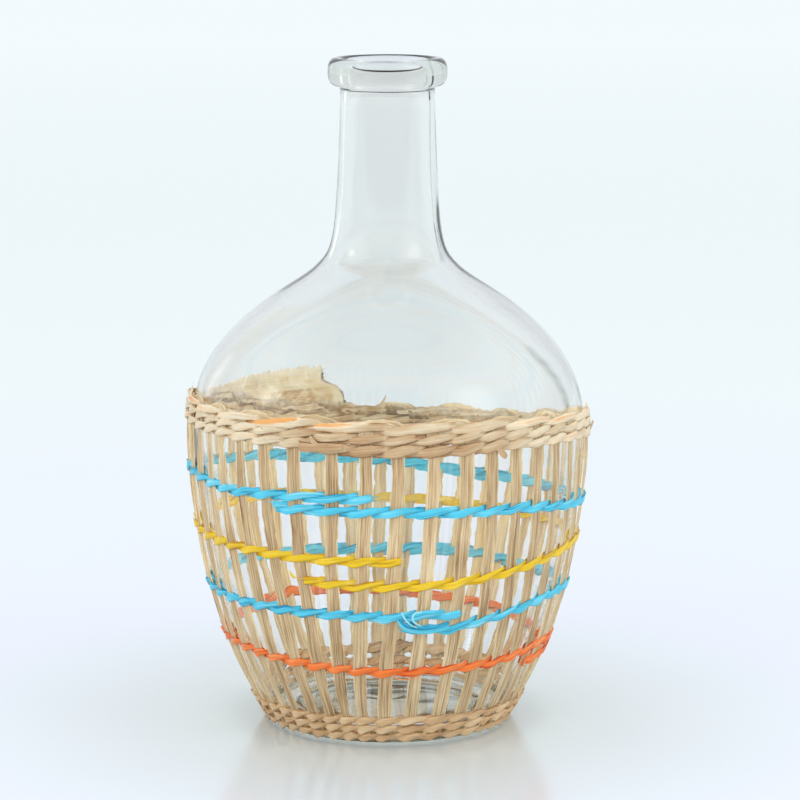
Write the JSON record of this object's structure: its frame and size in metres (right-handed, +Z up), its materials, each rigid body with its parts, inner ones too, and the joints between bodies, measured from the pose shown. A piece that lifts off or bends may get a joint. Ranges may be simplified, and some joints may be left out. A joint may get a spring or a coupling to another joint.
{
  "type": "woven bottle vase",
  "caption": "Round-shouldered clear glass bottle vase with a narrow neck and lip, in an open sleeve of grass stakes twined with coloured raffia.",
  "frame": {"origin": "centre of the foot ring, on the surface the bottle stands on", "axes": "+Z up along the bottle's axis; the front of the pictured side faces -Y"},
  "size_m": [0.1841, 0.184, 0.3],
  "materials": {
    "clear_glass": "clear, faint green in the thick foot",
    "grass_stake": "dry fibrous grass strip, matt",
    "grass_band": "pale twisted grass, satin",
    "leaf_end": "thin dry leaf, frayed edge",
    "raffia_blue": "dyed raffia, soft sheen",
    "raffia_yellow": "dyed raffia, soft sheen",
    "raffia_orange": "dyed raffia, soft sheen"
  },
  "bodies": {
    "root": {"base_row_1_strand_a": "grass_band", "base_row_1_strand_b": "grass_band", "base_row_2_strand_a": "grass_band", "base_row_2_strand_b": "grass_band", "base_row_3_strand_a": "grass_band", "base_row_3_strand_b": "grass_band", "blue_lower_weft_a": "raffia_blue", "blue_lower_weft_b": "raffia_blue", "blue_upper_weft_a": "raffia_blue", "blue_upper_weft_b": "raffia_blue", "glass_bottle": "clear_glass", "leaf_flap": "leaf_end", "orange_weft_a": "raffia_orange", "orange_weft_b": "raffia_orange", "rim_row_1_strand_a": "grass_band", "rim_row_1_strand_b": "grass_band", "rim_row_2_strand_a": "grass_band", "rim_row_2_strand_b": "grass_band", "rim_row_3_strand_a": "grass_band", "rim_row_3_strand_b": "grass_band", "stake_pair_01": "grass_stake", "stake_pair_02": "grass_stake", "stake_pair_03": "grass_stake", "stake_pair_04": "grass_stake", "stake_pair_05": "grass_stake", "stake_pair_06": "grass_stake", "stake_pair_07": "grass_stake", "stake_pair_08": "grass_stake", "stake_pair_09": "grass_stake", "stake_pair_10": "grass_stake", "stake_pair_11": "grass_stake", "stake_pair_12": "grass_stake", "stake_pair_13": "grass_stake", "stake_pair_14": "grass_stake", "stake_pair_15": "grass_stake", "stake_pair_16": "grass_stake", "stake_pair_17": "grass_stake", "stake_pair_18": "grass_stake", "stake_pair_19": "grass_stake", "stake_pair_20": "grass_stake", "yellow_weft_a": "raffia_yellow", "yellow_weft_b": "raffia_yellow"}
  },
  "joints": []
}
